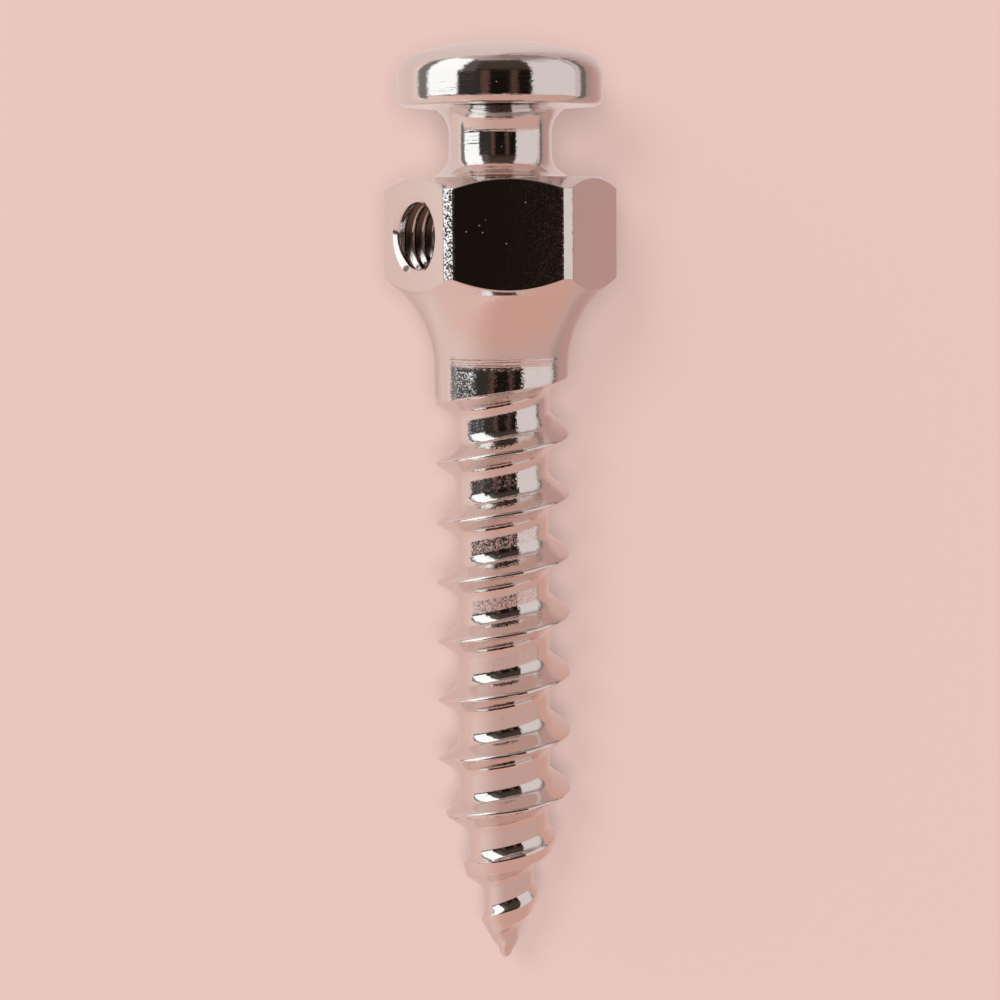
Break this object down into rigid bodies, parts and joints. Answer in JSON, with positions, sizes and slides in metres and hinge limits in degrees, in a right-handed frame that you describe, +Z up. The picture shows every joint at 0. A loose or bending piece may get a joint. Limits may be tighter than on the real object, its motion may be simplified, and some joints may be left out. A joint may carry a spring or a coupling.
{
  "type": "orthodontic mini screw",
  "caption": "Self-drilling bone screw with a hexagonal head, a cross hole, a waisted neck and a domed button.",
  "frame": {"origin": "under the middle of the screw's box, on the surface that it lies on", "axes": "+Y towards the button head, nearly along the screw; +Z up from the surface; the cross hole's mouth that shows opens to -X and up"},
  "size_m": [0.0028, 0.011, 0.0026],
  "materials": {
    "surgical_steel": "polished surgical stainless steel with fine turning and milling marks"
  },
  "bodies": {
    "root": {"mini_screw": "surgical_steel"}
  },
  "joints": []
}
